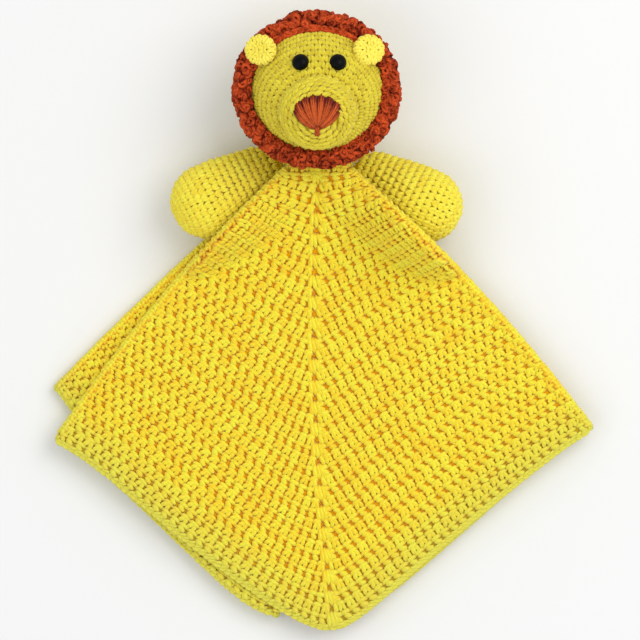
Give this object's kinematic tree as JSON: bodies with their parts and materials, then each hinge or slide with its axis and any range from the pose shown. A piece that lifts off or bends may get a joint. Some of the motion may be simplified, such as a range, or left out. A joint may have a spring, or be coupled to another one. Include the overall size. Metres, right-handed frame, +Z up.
{
  "type": "comfort blanket lovey",
  "caption": "Crocheted lion comfort blanket: a stuffed head with a curled mane and two stuffed arms sewn on the gathered centre of a square blanket folded in quarters",
  "frame": {"origin": "middle of the underside, on the surface that the toy lies on", "axes": "+X to the right of the face as seen, +Y from the blanket's corner to the crown, +Z up from the surface, out of the face"},
  "size_m": [0.3286, 0.3802, 0.093],
  "materials": {
    "blanket_yarn": "matte crocheted yarn",
    "yellow_yarn": "matte crocheted yarn",
    "rust_yarn": "matte curled yarn",
    "nose_yarn": "satin stitched yarn",
    "eye_plastic": "glossy black",
    "washer_plastic": "matte",
    "stuffing": "matte"
  },
  "bodies": {
    "blanket_body": {"blanket": "blanket_yarn", "neck_seam": "yellow_yarn", "left_arm_seam": "yellow_yarn", "right_arm_seam": "yellow_yarn"},
    "head": {"head_cover": "yellow_yarn", "head_filling": "stuffing", "mane": "rust_yarn", "muzzle_cover": "yellow_yarn", "muzzle_filling": "stuffing", "muzzle_seam": "yellow_yarn", "nose_embroidery": "nose_yarn", "mouth_stitch": "nose_yarn", "left_eye": "eye_plastic", "right_eye": "eye_plastic", "left_eye_washer": "washer_plastic", "right_eye_washer": "washer_plastic", "left_ear": "yellow_yarn", "right_ear": "yellow_yarn", "left_ear_seam": "yellow_yarn", "right_ear_seam": "yellow_yarn"},
    "left_arm": {"left_arm_cover": "yellow_yarn", "left_arm_filling": "stuffing"},
    "right_arm": {"right_arm_cover": "yellow_yarn", "right_arm_filling": "stuffing"}
  },
  "joints": [
    {"name": "head_nod", "type": "hinge", "parent": "blanket_body", "child": "head", "pos_m": [-0.0022, 0.1005, 0.03371], "axis": [1, 0, 0], "range_deg": [0, 60]},
    {"name": "left_arm_swing", "type": "hinge", "parent": "blanket_body", "child": "left_arm", "pos_m": [-0.03721, 0.08893, 0.015], "axis": [0, 0, -1], "range_deg": [0, 40]},
    {"name": "right_arm_swing", "type": "hinge", "parent": "blanket_body", "child": "right_arm", "pos_m": [0.03179, 0.08593, 0.015], "axis": [0, 0, 1], "range_deg": [0, 40]}
  ]
}
